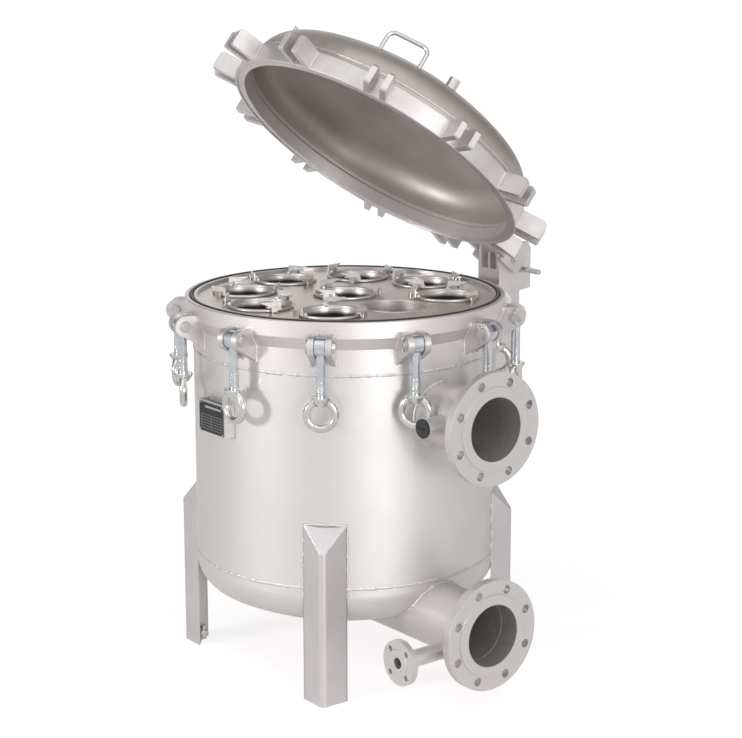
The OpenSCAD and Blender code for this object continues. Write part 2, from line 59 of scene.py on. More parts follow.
# Dull skin of pipe that wasn't blasted inside: its tones, the size of its patches, how metallic it is.
SKIN_TONES = ("#8d8987", "#bab6b4")
SKIN_MM = 14.0
SKIN_METALLIC = 0.25
# Painted shade: the dark tone that the hold-down rings' foot is darkened to, standing in for the shade deep in the
# seats.
STAIN_TONE = "#3a3634"
# How far a steel's pattern changes its roughness.
ROUGH_SWING = 0.03

Point = tuple[float, float, float]
Path = list[Point]
Tree = bpy.types.NodeTree
Socket = bpy.types.NodeSocket


def linear(hex_colour: str) -> tuple[float, float, float, float]:
    """Turn an sRGB hex colour into the linear colour that shaders use.

    Args:
        hex_colour: six hex digits after a hash sign.

    Returns:
        Red, green, blue and alpha, each from 0 to 1.
    """
    parts = [int(hex_colour[i:i + 2], 16) / 255 for i in (1, 3, 5)]
    red, green, blue = (c / 12.92 if c <= 0.04045 else ((c + 0.055) / 1.055) ** 2.4 for c in parts)
    return red, green, blue, 1.0


def per_mm(size_mm: float) -> float:
    """Give the texture scale, in cycles for each metre, of a pattern of that size."""
    return 1 / (size_mm * MM)


def fill(tree: Tree, node: bpy.types.Node, inputs: dict) -> None:
    """Set a node's inputs, by name or number, to values or to output sockets."""
    for key, value in inputs.items():
        socket = node.inputs[key]
        if isinstance(value, Socket):
            tree.links.new(value, socket)
        else:
            socket.default_value = value


def add_node(tree: Tree, kind: str, inputs: dict | None = None, **settings) -> bpy.types.Node:
    """Add a node with its settings, values and links.

    Args:
        tree: the shader or geometry tree.
        kind: the node's type name.
        inputs: socket name or number to a value or to an output socket.
        **settings: properties of the node itself.

    Returns:
        The new node.
    """
    node = tree.nodes.new(kind)
    for name, value in settings.items():
        setattr(node, name, value)
    fill(tree, node, inputs or {})
    return node


def noise(tree: Tree, where: Socket, size_mm: float, detail: float, roughness: float = 0.5) -> Socket:
    """Add noise of a given size, from 0 to 1."""
    return add_node(tree, "ShaderNodeTexNoise", {
        "Vector": where, "Scale": per_mm(size_mm), "Detail": detail, "Roughness": roughness}).outputs[0]


def blend(tree: Tree, share: Socket, first: object, second: object) -> Socket:
    """Mix two colours, where a share of 1 gives the second."""
    return add_node(tree, "ShaderNodeMix", {0: share, 6: first, 7: second}, data_type="RGBA").outputs[2]


def pick(tree: Tree, share: Socket, first: object, second: object) -> Socket:
    """Mix two numbers, where a share of 1 gives the second."""
    return add_node(tree, "ShaderNodeMix", {0: share, 2: first, 3: second}, data_type="FLOAT").outputs[0]


def ramp(tree: Tree, value: Socket, low: float, high: float, to_low: object = 0.0, to_high: object = 1.0,
         kind: str = "LINEAR") -> Socket:
    """Map the values between low and high onto those between to_low and to_high."""
    return add_node(tree, "ShaderNodeMapRange", {
        0: value, 1: low, 2: high, 3: to_low, 4: to_high}, interpolation_type=kind).outputs[0]


def calc(tree: Tree, operation: str, *values: object) -> Socket:
    """Work out a number from others."""
    return add_node(tree, "ShaderNodeMath", dict(enumerate(values)), operation=operation).outputs[0]


def dot(tree: Tree, first: Socket, second: object) -> Socket:
    """Multiply two vectors into their dot product."""
    return add_node(tree, "ShaderNodeVectorMath", {
        0: first, 1: second}, operation="DOT_PRODUCT").outputs["Value"]


def bumps(tree: Tree, height: Socket, relief_mm: float, strength: float) -> bpy.types.Node:
    """Raise a fine relief on the surface."""
    return add_node(tree, "ShaderNodeBump", {
        "Height": height, "Distance": relief_mm * MM, "Strength": strength})


def new_material(name: str) -> tuple[bpy.types.Material, Tree, Socket]:
    """Make a material, and give its tree and the point on the object with it."""
    material = bpy.data.materials.new(name)
    material.use_nodes = True
    tree = material.node_tree
    return material, tree, add_node(tree, "ShaderNodeTexCoord").outputs["Object"]


def set_shader(tree: Tree, colour: Socket, roughness: object, metallic: object,
               bump: bpy.types.Node) -> None:
    """Give a material's shader its look."""
    fill(tree, tree.nodes["Principled BSDF"], {
        "Base Color": colour, "Roughness": roughness, "Metallic": metallic, "Normal": bump.outputs[0]})


class Wear(Enum):
    """Where a steel surface gets its second colour."""

    CLOUDS = "clouds"
    RINGS = "rings"
    STREAKS = "streaks"


@dataclass(frozen=True)
class SteelFinish:
    """Stainless steel with a fine surface grain and a slow change of tone.

    Attributes:
        name: the material's name.
        colour: the main tone.
        second: the tone of the clouds, rings or streaks.
        roughness: how wide the highlights are.
        metallic: share of the light that the metal mirrors rather than scatters.
        grain_mm: size of the blasted or ground grain.
        patch_mm: size of the clouds, or width of the rings and streaks.
        relief_mm: height of the grain.
        wear: where the second tone lies.
        centre: point on the axis of turned rings, in metres.
        axis: direction of that axis.
        dark_bore: radius of a dull dark bore, in metres, or 0 for none.
        edge_mm: how far edges are rounded off to the eye, or 0 for sharp.
        stain_z: heights between which a painted shade fades out upwards, or None.
    """

    name: str
    colour: str
    second: str
    roughness: float = 0.5
    metallic: float = 0.45
    grain_mm: float = 1.2
    patch_mm: float = 90.0
    relief_mm: float = 0.05
    wear: Wear = Wear.CLOUDS
    centre: Point = (0.0, 0.0, 0.0)
    axis: Point = (0.0, 0.0, 1.0)
    dark_bore: float = 0.0
    edge_mm: float = 0.0
    stain_z: tuple[float, float] | None = None

    def material(self) -> bpy.types.Material:
        """Build the material."""
        material, tree, where = new_material(self.name)
        pattern = self.pattern(tree, where)
        grain = noise(tree, where, self.grain_mm, 3.0, 0.6)
        tone = blend(tree, pattern, linear(self.colour), linear(self.second))
        spark = ramp(tree, grain, 0.3, 0.7, 0.93, 1.05)
        paint = add_node(tree, "ShaderNodeMix", {
            0: 1.0, 6: tone, 7: spark}, data_type="RGBA", blend_type="MULTIPLY").outputs[2]
        metallic = self.metallic
        if self.dark_bore:
            paint, metallic = self.darken_bore(tree, where, paint)
        # Painted shade: the foot of the piece is darkened as if it lay in shade.
        if self.stain_z:
            paint = self.stain(tree, where, paint)
        rough = ramp(tree, pattern, 0.0, 1.0, self.roughness - ROUGH_SWING, self.roughness + ROUGH_SWING)
        bump = bumps(tree, grain, self.relief_mm, 0.6)
        if self.edge_mm:
            edge = add_node(tree, "ShaderNodeBevel", {"Radius": self.edge_mm * MM}, samples=4)
            fill(tree, bump, {"Normal": edge.outputs[0]})
        set_shader(tree, paint, rough, metallic, bump)
        return material

    def pattern(self, tree: Tree, where: Socket) -> Socket:
        """Make the pattern that the second tone follows.

        Args:
            tree: the material's tree.
            where: the point on the object.

        Returns:
            A value from 0 to 1.
        """
        if self.wear is Wear.CLOUDS:
            return ramp(tree, noise(tree, where, self.patch_mm, 4.0, 0.55), 0.38, 0.66)
        if self.wear is Wear.STREAKS:
            squeeze = add_node(tree, "ShaderNodeVectorMath", {
                0: where, 1: (1.0, 1.0, 0.12)}, operation="MULTIPLY")
            return ramp(tree, noise(tree, squeeze.outputs[0], self.patch_mm, 3.0), 0.35, 0.65)
        radius, along = self.round_axis(tree, where)
        tilt = calc(tree, "ABSOLUTE", dot(tree, where.node.outputs["Normal"], self.axis))
        place = pick(tree, calc(tree, "LESS_THAN", tilt, 0.5), radius, along)
        rings = add_node(tree, "ShaderNodeTexNoise", {
            "W": place, "Scale": per_mm(self.patch_mm), "Detail": 2.0}, noise_dimensions="1D")
        return ramp(tree, rings.outputs[0], 0.3, 0.7)

    def round_axis(self, tree: Tree, where: Socket) -> tuple[Socket, Socket]:
        """Measure a point from the finish's axis.

        Args:
            tree: the material's tree.
            where: the point on the object.

        Returns:
            Its distance from the axis, and its place along it.
        """
        moved = add_node(tree, "ShaderNodeVectorMath", {
            0: where, 1: self.centre}, operation="SUBTRACT").outputs[0]
        along = dot(tree, moved, self.axis)
        on_axis = add_node(tree, "ShaderNodeVectorMath", {0: self.axis, "Scale": along}, operation="SCALE")
        across = add_node(tree, "ShaderNodeVectorMath", {
            0: moved, 1: on_axis.outputs[0]}, operation="DISTANCE")
        return across.outputs["Value"], along

    def darken_bore(self, tree: Tree, where: Socket, paint: Socket) -> tuple[Socket, Socket]:
        """Give the inside of a pipe the dull dark skin of unblasted steel.

        Args:
            tree: the material's tree.
            where: the point on the object.
            paint: the colour outside the bore.

        Returns:
            The colour with the dark bore, and how metallic the steel is.
        """
        inside = calc(tree, "LESS_THAN", self.round_axis(tree, where)[0], self.dark_bore)
        skin = blend(tree, noise(tree, where, SKIN_MM, 6.0, 0.7), *map(linear, SKIN_TONES))
        return blend(tree, inside, paint, skin), ramp(tree, inside, 0.0, 1.0, self.metallic, SKIN_METALLIC)

    def stain(self, tree: Tree, where: Socket, paint: Socket) -> Socket:
        """Darken the metal towards the foot of a piece with painted shade, for the shade deep in its seat.

        Args:
            tree: the material's tree.
            where: the point on the object.
            paint: the colour without the painted shade.

        Returns:
            The colour with the painted shade.
        """
        height = add_node(tree, "ShaderNodeSeparateXYZ", {0: where}).outputs["Z"]
        return blend(tree, ramp(tree, height, *self.stain_z, kind="SMOOTHSTEP"), linear(STAIN_TONE), paint)


@dataclass(frozen=True)
class ZincFinish:
    """Bright zinc plate with the faint blue or yellow cast of its passivation."""

    name: str
    colour: str
    cast: str
    roughness: float = 0.17
    cloud_mm: float = 30.0

    def material(self) -> bpy.types.Material:
        """Build the material."""
        material, tree, where = new_material(self.name)
        cloud = noise(tree, where, self.cloud_mm, 4.0)
        tone = blend(tree, ramp(tree, cloud, 0.35, 0.65), linear(self.colour), linear(self.cast))
        rough = ramp(tree, cloud, 0.0, 1.0, self.roughness - 0.06, self.roughness + 0.08)
        set_shader(tree, tone, rough, 0.95, bumps(tree, cloud, 0.2, 0.1))
        return material


@dataclass(frozen=True)
class DullFinish:
    """Rubber, plastic or baked paint: no metal, a slight change of tone and a soft gloss.

    Attributes:
        name: the material's name.
        colour: the main tone.
        second: the tone of the grain.
        roughness: how wide the highlights are.
        grain_mm: size of the grain.
        crown: tone of the surface that faces up, a painted highlight that stands in for the light on the top, or
            empty for none.
    """

    name: str
    colour: str
    second: str
    roughness: float = 0.5
    grain_mm: float = 2.0
    crown: str = ""

    def material(self) -> bpy.types.Material:
        """Build the material."""
        material, tree, where = new_material(self.name)
        grain = noise(tree, where, self.grain_mm, 3.0)
        tone = blend(tree, grain, linear(self.colour), linear(self.second))
        # Painted highlight: the surface that faces up is lightened as if lit from above.
        if self.crown:
            facing = add_node(tree, "ShaderNodeSeparateXYZ", {0: where.node.outputs["Normal"]})
            tone = blend(tree, ramp(tree, facing.outputs["Z"], 0.82, 0.93), tone, linear(self.crown))
        set_shader(tree, tone, self.roughness, 0.0, bumps(tree, grain, 0.05, 0.5))
        return material


def mount(name: str) -> dict:
    """Find a mount of the part by its name."""
    return next(m for m in frame["record"]["mounts"] if m["name"] == name)


INLET, OUTLET, DRAIN = (tuple(mount(f"{end}_bolts")["pos_m"]) for end in ("inlet", "outlet", "drain"))
NOZZLE_BORE = mount("inlet_bore")["dims"]["r_mm"] * MM
# Heights of the painted shade at the foot of the hold-down rings, which stands in for the shade deep in the seats.
STAIN_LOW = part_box("tube_plate")[1].z - 27 * MM
STAIN_FADE = 11 * MM
ALONG_X: Point = (1.0, 0.0, 0.0)
ALONG_Y: Point = (0.0, 1.0, 0.0)


def flange_steel(end: str, centre: Point, axis: Point, bore: float) -> SteelFinish:
    """Blasted flanges keep their turning marks, and their bores the dull skin of the pipe."""
    return SteelFinish(f"blasted {end} flange", "#dcd8d7", "#d0cccb", 0.44, 0.8, 1.0, 1.8, 0.03,
                       Wear.RINGS, centre, axis, bore, 1.5)


# Glass-bead blasted stainless: pale and nearly matt, with broad soft highlights.
BLASTED = SteelFinish("blasted stainless", "#dddad9", "#d8d5d4", 0.48, 0.88, patch_mm=180)
# Pickled plate is the same steel a little greyer, and its cut edges catch the light.
PICKLED = SteelFinish("pickled stainless plate", "#d8d3d3", "#cec9c9", 0.44, 0.8, patch_mm=70, edge_mm=1.5)
# Legs are the same plate, bent cold, so their outer corner is round.
BENT_PLATE = SteelFinish("bent stainless plate", "#d3cecf", "#ccc7c8", 0.44, 0.8, patch_mm=160, edge_mm=5)
# The closure ring is turned: fine rings round the vessel's axis.
TURNED_RING = SteelFinish("turned closure ring", "#e3dedd", "#dbd6d5", 0.46, 0.88, 1.0, 1.8, 0.01, Wear.RINGS)
# The tube plate shows brownish machining rings under the bags.
TUBE_PLATE = SteelFinish("machined tube plate", "#ded6d1", "#cbc2bc", 0.36, 0.8, 1.0, 2.4, 0.02, Wear.RINGS)
# The lid's dished plate: unblasted, smoother and browner than the shell.
LID_PLATE = SteelFinish("rolled lid plate", "#bbb3ae", "#aea6a1", 0.46, 0.7, 1.4, 140, 0.03)
# Polished bar of the lid's handle and the baskets' bails, smooth enough for long clean highlights.
POLISHED = SteelFinish("polished stainless", "#d9d6d3", "#cecbc8", 0.26, 0.92, 2.5, 120, 0.0)
# The hold-down rings are polished sheet, with painted shade below the rim that stands in for the shade deep in the
# seats.
SKIRT = SteelFinish("polished ring with a stained skirt", "#d6d3d0", "#cbc8c5", 0.38, 0.88, 2.5, 120, 0.0,
                    stain_z=(STAIN_LOW, STAIN_LOW + STAIN_FADE))
# Sheared and tumbled tabs: brighter than the rings, because they scatter more light.
TUMBLED = SteelFinish("tumbled stainless", "#e6e4e2", "#d8d5d2", 0.4, 0.4, 1.5, 12, 0.02, edge_mm=0.6)
# Turned pins, studs and washers.
TURNED_PIN = SteelFinish("turned stainless pin", "#d4d3d0", "#c6c4c1", 0.28, 0.85, 1.5, 40, 0.004)
# Weld metal after pickling: lighter and rougher than the plate beside it.
WELD = SteelFinish("pickled weld", "#dcd8d7", "#cecac9", 0.54, 0.7, 1.5, 12, 0.1)
INLET_STEEL = flange_steel("inlet", INLET, ALONG_Y, NOZZLE_BORE + MM)
OUTLET_STEEL = flange_steel("outlet", OUTLET, ALONG_Y, NOZZLE_BORE + MM)
DRAIN_STEEL = flange_steel("drain", DRAIN, ALONG_X, 0.0)
# Perforated basket sheet deep inside the vessel, painted dark: painted shade for its depth and its holes.
BASKET_STEEL = SteelFinish("basket sheet", "#6f6a66", "#5b5753", 0.4, 0.7, 1.5, 20, 0.05, Wear.STREAKS)
# Clear passivated zinc has a faint blue cast, and the older nuts a faint yellow one.
BLUE_ZINC = ZincFinish("blue zinc plate", "#d9dde0", "#c6ccd2")
YELLOW_ZINC = ZincFinish("yellowed zinc plate", "#dadad5", "#cdcdc7")
# Black rubber in its groove, with a painted highlight: its crown is painted grey, as if lit from above.
NITRILE = DullFinish("nitrile rubber", "#0f0c0b", "#171311", 0.8, crown="#7d7672")
BLACK_PLASTIC = DullFinish("black moulded plastic", "#232426", "#2e2f32", 0.34, 1.0)
BLACK_ENAMEL = DullFinish("baked black enamel", "#0f1011", "#17181a", 0.35, 0.8)
PLATE_PRINT = DullFinish("etched bare metal", "#b9b9b7", "#9b9b99", 0.45, 0.6)


class Shop:
    """Keeps one material for each finish, so that pieces share them."""

    def __init__(self) -> None:
        """Start with no materials."""
        self.made: dict[str, bpy.types.Material] = {}

    def get(self, finish: SteelFinish | ZincFinish | DullFinish) -> bpy.types.Material:
        """Return the finish's material, building it the first time."""
        if finish.name not in self.made:
            self.made[finish.name] = finish.material()
        return self.made[finish.name]

    def dress(self, finish: SteelFinish | ZincFinish | DullFinish, *nodes: str) -> None:
        """Put a finish on CAD nodes."""
        for node in nodes:
            for slot in frame["nodes"][node].material_slots:
                slot.material = self.get(finish)
            LOG.info("node %s: %s", node, finish.name)


SHOP = Shop()


def angles(count: int) -> list[float]:
    """Evenly spaced angles of a full turn, in radians."""
    return [FULL_TURN * i / count for i in range(count)]


def ring_path(radius: float, z: float, steps: int = 180) -> Path:
    """Points of a circle round the vessel's axis."""
    return [(radius * math.cos(t), radius * math.sin(t), z) for t in angles(steps)]


def turned(path: Path, degrees: float) -> Path:
    """Turn a path round the vessel's axis."""
    turn = Matrix.Rotation(math.radians(degrees), 3, "Z")
    return [tuple(turn @ Vector(p)) for p in path]


def new_object(name: str, data: bpy.types.ID) -> bpy.types.Object:
    """Link a new object that shows a mesh, or that is a lamp or camera."""
    piece = bpy.data.objects.new(name, data)
    bpy.context.scene.collection.objects.link(piece)
    return piece


def closed_mesh(name: str, verts: Path, faces: Sequence[tuple[int, ...]]) -> bpy.types.Mesh:
    """Make a mesh of closed solids whose faces all point outwards.

    Args:
        name: the mesh's name.
        verts: its corners.
        faces: the corners of each face.

    Returns:
        The new mesh.
    """
    mesh = bpy.data.meshes.new(name)
    mesh.from_pydata(verts, [], faces)
    work = bmesh.new()
    work.from_mesh(mesh)
    bmesh.ops.recalc_face_normals(work, faces=work.faces)
    work.to_mesh(mesh)
    work.free()
    return mesh


def new_tree(name: str, sockets: dict[str, str]) -> tuple[Tree, bpy.types.bpy_prop_collection]:
    """Make an empty Geometry Nodes tree with a geometry input and output.

    Args:
        name: the tree's name.
        sockets: name to kind of each further input. A metal comes last by itself.

    Returns:
        The tree, and the sockets that give its inputs.
    """
    tree = bpy.data.node_groups.new(name, "GeometryNodeTree")
    for label, kind in {"Geometry": "Geometry", **sockets, "Metal": "Material"}.items():
        tree.interface.new_socket(label, in_out="INPUT", socket_type=f"NodeSocket{kind}")
    tree.interface.new_socket("Geometry", in_out="OUTPUT", socket_type="NodeSocketGeometry")
    return tree, add_node(tree, "NodeGroupInput").outputs


def close_tree(tree: Tree, shape: Socket, metal: Socket) -> Tree:
    """Make a tree's instances real, give them their metal and end the tree."""
    real = add_node(tree, "GeometryNodeRealizeInstances", {"Geometry": shape})
    done = add_node(tree, "GeometryNodeSetMaterial", {"Geometry": real.outputs[0], "Material": metal})
    add_node(tree, "NodeGroupOutput", {"Geometry": done.outputs[0]})
    return tree


def run_tree(piece: bpy.types.Object, tree: Tree, values: dict) -> bpy.types.Object:
    """Run a Geometry Nodes tree on an object and keep the result as its plain mesh.

    Args:
        piece: the object that carries the tree's input geometry.
        tree: the tree to run.
        values: input name to value.

    Returns:
        The same object with its new mesh and no modifier.
    """
    modifier = piece.modifiers.new("build", "NODES")
    modifier.node_group = tree
    for item in tree.interface.items_tree:
        if item.item_type == "SOCKET" and item.in_out == "INPUT" and item.name in values:
            modifier[item.identifier] = values[item.name]
    bpy.context.view_layer.update()
    graph = bpy.context.evaluated_depsgraph_get()
    mesh = bpy.data.meshes.new_from_object(piece.evaluated_get(graph))
    piece.modifiers.remove(modifier)
    mesh.name = piece.name
    mesh.materials.clear()
    mesh.materials.append(values["Metal"])
    mesh.polygons.foreach_set("material_index", [0] * len(mesh.polygons))
    piece.data = mesh
    return piece


def bead_tree() -> Tree:
    """Round bar or weld bead: a tube along each path, with the ripples of a weld's passes if asked."""
    tree, given = new_tree("bar or bead", {
        "Bead radius": "Float", "Step": "Float", "Unevenness": "Float", "Ripple": "Float", "Seed": "Float"})
    curve = add_node(tree, "GeometryNodeMeshToCurve", {"Mesh": given["Geometry"]})
    even = add_node(tree, "GeometryNodeResampleCurve", {
        "Curve": curve.outputs[0], "Length": given["Step"]}, mode="LENGTH")
    here = add_node(tree, "GeometryNodeInputPosition")
    wobble = add_node(tree, "ShaderNodeTexNoise", {
        "Vector": here.outputs[0], "W": given["Seed"], "Scale": RIPPLES_PER_M, "Detail": 2.0},
        noise_dimensions="4D")
    thin = calc(tree, "MULTIPLY_ADD", given["Ripple"], -0.28, 1.0)
    fat = calc(tree, "MULTIPLY_ADD", given["Ripple"], 0.25, 1.0)
    ripple = ramp(tree, wobble.outputs[0], 0.3, 0.7, thin, fat)
    profile = add_node(tree, "GeometryNodeCurvePrimitiveCircle", {"Resolution": 8, "Radius": 1.0})
    tube = add_node(tree, "GeometryNodeCurveToMesh", {
        "Curve": even.outputs[0], "Profile Curve": profile.outputs["Curve"], "Fill Caps": True,
        "Scale": calc(tree, "MULTIPLY", ripple, given["Bead radius"])})
    centre = add_node(tree, "ShaderNodeVectorMath", {
        0: wobble.outputs["Color"], 1: (0.5, 0.5, 0.5)}, operation="SUBTRACT")
    push = add_node(tree, "ShaderNodeVectorMath", {
        0: centre.outputs[0], "Scale": given["Unevenness"]}, operation="SCALE")
    uneven = add_node(tree, "GeometryNodeSetPosition", {
        "Geometry": tube.outputs[0], "Offset": push.outputs[0]})
    smooth = add_node(tree, "GeometryNodeSetShadeSmooth", {"Geometry": uneven.outputs[0]})
    return close_tree(tree, smooth.outputs[0], given["Metal"])


def thread_tree() -> Tree:
    """Screw thread: a small ridge wound round a vertical shaft."""
    tree, given = new_tree("screw thread", {
        "Shaft radius": "Float", "Pitch": "Float", "Turns": "Float", "Foot": "Vector"})
    coil = add_node(tree, "GeometryNodeCurveSpiral", {
        "Resolution": 20, "Rotations": given["Turns"],
        "Start Radius": given["Shaft radius"], "End Radius": given["Shaft radius"],
        "Height": calc(tree, "MULTIPLY", given["Pitch"], given["Turns"])})
    ridge = add_node(tree, "GeometryNodeCurvePrimitiveCircle", {
        "Resolution": 4, "Radius": calc(tree, "MULTIPLY", given["Pitch"], RIDGE_SHARE)})
    wound = add_node(tree, "GeometryNodeCurveToMesh", {
        "Curve": coil.outputs[0], "Profile Curve": ridge.outputs["Curve"], "Fill Caps": True})
    placed = add_node(tree, "GeometryNodeTransform", {
        "Geometry": wound.outputs[0], "Translation": given["Foot"]})
    return close_tree(tree, placed.outputs[0], given["Metal"])


def stud_tree() -> Tree:
    """Small round heads on points, all facing one way."""
    tree, given = new_tree("round heads", {
        "Head radius": "Float", "Head height": "Float", "Facing": "Vector"})
    ball = add_node(tree, "GeometryNodeMeshUVSphere", {
        "Segments": 16, "Rings": 8, "Radius": given["Head radius"]})
    smooth = add_node(tree, "GeometryNodeSetShadeSmooth", {"Geometry": ball.outputs["Mesh"]})
    squash = add_node(tree, "ShaderNodeCombineXYZ", {
        0: 1.0, 1: 1.0, 2: calc(tree, "DIVIDE", given["Head height"], given["Head radius"])})
    head = add_node(tree, "GeometryNodeTransform", {
        "Geometry": smooth.outputs[0], "Scale": squash.outputs[0]})
    points = add_node(tree, "GeometryNodeMeshToPoints", {"Mesh": given["Geometry"]})
    aim = add_node(tree, "FunctionNodeAlignRotationToVector", {"Vector": given["Facing"]}, axis="Z")
    studs = add_node(tree, "GeometryNodeInstanceOnPoints", {
        "Points": points.outputs[0], "Instance": head.outputs[0], "Rotation": aim.outputs[0]})
    return close_tree(tree, studs.outputs[0], given["Metal"])


def tab_tree() -> Tree:
    """Copies of a tab, set evenly round a point."""
    tree, given = new_tree("tabs round a ring", {"Count": "Int", "Centre": "Vector", "Turn": "Float"})
    places = add_node(tree, "GeometryNodeMeshLine", {
        "Count": given["Count"], "Start Location": given["Centre"], "Offset": (0.0, 0.0, 0.0)},
        mode="OFFSET")
    index = add_node(tree, "GeometryNodeInputIndex")
    step = calc(tree, "DIVIDE", FULL_TURN, given["Count"])
    euler = add_node(tree, "ShaderNodeCombineXYZ", {
        2: calc(tree, "MULTIPLY_ADD", index.outputs[0], step, given["Turn"])})
    turn = add_node(tree, "FunctionNodeEulerToRotation", {0: euler.outputs[0]})
    tabs = add_node(tree, "GeometryNodeInstanceOnPoints", {
        "Points": places.outputs[0], "Instance": given["Geometry"], "Rotation": turn.outputs[0]})
    return close_tree(tree, tabs.outputs[0], given["Metal"])


BEAD_TREE = bead_tree()
THREAD_TREE = thread_tree()
STUD_TREE = stud_tree()
TAB_TREE = tab_tree()


def bar(name: str, body: str, lines: Sequence[tuple[Path, bool]], radius_mm: float, finish: SteelFinish,
        step_mm: float = 3.0, uneven_mm: float = 0.0, ripple: float = 0.0) -> bpy.types.Object:
    """Lay round bar or beads along lines and let them ride on a body.

    Args:
        name: the piece's name.
        body: the CAD body that carries it.
        lines: each line's points, and whether it closes on itself.
        radius_mm: half the bar's thickness.
        finish: the bar's finish.
        step_mm: distance between the bar's sections.
        uneven_mm: how far it strays from its line.
        ripple: share of a weld's change of thickness.

    Returns:
        The finished piece.
    """
    points: Path = []
    edges: list[tuple[int, int]] = []
    for line, closed in lines:
        start = len(points)
        points.extend(line)
        edges.extend((start + i, start + i + 1) for i in range(len(line) - 1))
        if closed:
            edges.append((len(points) - 1, start))
    mesh = bpy.data.meshes.new(name)
    mesh.from_pydata(points, edges, [])
    piece = run_tree(new_object(name, mesh), BEAD_TREE, {
        "Bead radius": radius_mm * MM, "Step": step_mm * MM, "Unevenness": uneven_mm * MM,
        "Ripple": ripple, "Seed": float(len(name)), "Metal": SHOP.get(finish)})
    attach(piece, body)
    LOG.info("piece %s: %d lines", name, len(lines))
    return piece


def weld(name: str, body: str, lines: Sequence[tuple[Path, bool]], radius_mm: float,
         step_mm: float = 3.0, uneven_mm: float = 0.8) -> bpy.types.Object:
    """Lay rippled weld beads along lines.

    Args:
        name: the piece's name.
        body: the CAD body that carries it.
        lines: each line's points, and whether it closes on itself.
        radius_mm: half the bead's width.
        step_mm: distance between the bead's sections.
        uneven_mm: how far the bead strays from its line.

    Returns:
        The finished piece.
    """
    return bar(name, body, lines, radius_mm, WELD, step_mm, uneven_mm, 1.0)


def heads(name: str, body: str, points: Path, facing: Point, radius_mm: float, height_mm: float,
          finish: SteelFinish) -> bpy.types.Object:
    """Set small round heads, such as rivets, on a body.

    Args:
        name: the piece's name.
        body: the CAD body that carries it.
        points: middle of each head's foot.
        facing: direction that the heads face.
        radius_mm: radius of a head.
        height_mm: height of a head.
        finish: the heads' finish.

    Returns:
        The finished piece.
    """
    mesh = bpy.data.meshes.new(name)
    mesh.from_pydata(points, [], [])
    piece = run_tree(new_object(name, mesh), STUD_TREE, {
        "Head radius": radius_mm * MM, "Head height": height_mm * MM,
        "Facing": facing, "Metal": SHOP.get(finish)})
    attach(piece, body)
    LOG.info("piece %s: %d heads", name, len(points))
    return piece


@dataclass
class Vessel:
    """Shell, bottom head, closure ring, tube plate and the welds between them."""

    shell_r: float = field(default_factory=lambda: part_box("shell")[1].x)
    low: float = field(default_factory=lambda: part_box("shell")[0].z)
    neck: float = field(default_factory=lambda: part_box("shell")[1].z)
    ring_r: float = field(default_factory=lambda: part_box("closure_ring")[1].x)
    joint: float = field(default_factory=lambda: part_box("closure_ring")[1].z)
    ring_rim: float = 41 * MM
    cone: float = 31.5 * MM
    straight: float = 22 * MM
    plate_drop: float = 8.5 * MM
    riser_y: float = -204 * MM
    riser_r: float = 83.5 * MM
    seam_sunk: float = 4.2 * MM

    def head_radius(self, z: float) -> float:
        """Radius of the vessel's outside at a height, from the head's crown up to the shell."""
        tangent = self.low - self.straight
        crown = 2 * self.shell_r
        knuckle = crown / 10
        centre_r = self.shell_r - knuckle
        depth = math.sqrt((crown - knuckle) ** 2 - centre_r ** 2)
        below = tangent - z
        if below <= 0:
            return self.shell_r
        if below <= knuckle * math.cos(math.atan2(centre_r, depth)):
            return centre_r + math.sqrt(knuckle ** 2 - below ** 2)
        return math.sqrt(max(0.0, crown ** 2 - (below + depth) ** 2))

    def build(self) -> None:
        """Dress the vessel's nodes and lay its seams."""
        SHOP.dress(BLASTED, "shell", "bottom_head")
        SHOP.dress(TURNED_RING, "closure_ring")
        SHOP.dress(TUBE_PLATE, "tube_plate")
        SHOP.dress(BASKET_STEEL, "bag_baskets")
        SHOP.dress(NITRILE, "o_ring")
        for name, z in (("neck_seam", self.neck), ("bottom_seam", self.low)):
            weld(name, HOUSING, [(ring_path(self.shell_r - self.seam_sunk, z), True)], 6.0, uneven_mm=0.4)
        plate = self.joint - self.plate_drop
        lip = [(x, y + self.riser_y, z) for x, y, z in ring_path(self.riser_r, plate, 90)]
        weld("riser_lip", HOUSING, [(lip, True)], 2.2)


@dataclass
class Nozzle:
    """One flanged nozzle with its saddle weld on the vessel."""

    name: str
    centre: Point
    pipe_r: float
    finish: SteelFinish
    vessel: Vessel
    steps: int = 96
    least_reach: float = 45 * MM

    def saddle(self) -> Path:
        """Line where the pipe's outside meets the vessel."""
        path: Path = []
        for turn in angles(self.steps):
            x = self.pipe_r * math.cos(turn)
            z = self.centre[2] + self.pipe_r * math.sin(turn)
            reach = self.vessel.head_radius(z)
            if reach > abs(x) + self.least_reach:
                path.append((x, -math.sqrt(reach ** 2 - x ** 2), z))
        return path

    def build(self) -> None:
        """Dress the flange and pipe, and lay the saddle and the neck seam."""
        SHOP.dress(self.finish, f"{self.name}_flange", f"{self.name}_pipe")
        path = self.saddle()
        whole = len(path) == self.steps
        if not whole:
            split = max(range(1, len(path)), key=lambda i: (Vector(path[i]) - Vector(path[i - 1])).length)
            path = path[split:] + path[:split]
        weld(f"{self.name}_saddle", HOUSING, [(path, whole)], 5.0, 3.5, 1.4)
        seam_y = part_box(f"{self.name}_flange")[1].y
        circle = [(self.pipe_r * math.cos(t), seam_y, self.centre[2] + self.pipe_r * math.sin(t))
                  for t in angles(72)]
        weld(f"{self.name}_neck_seam", HOUSING, [(circle, True)], 2.2)


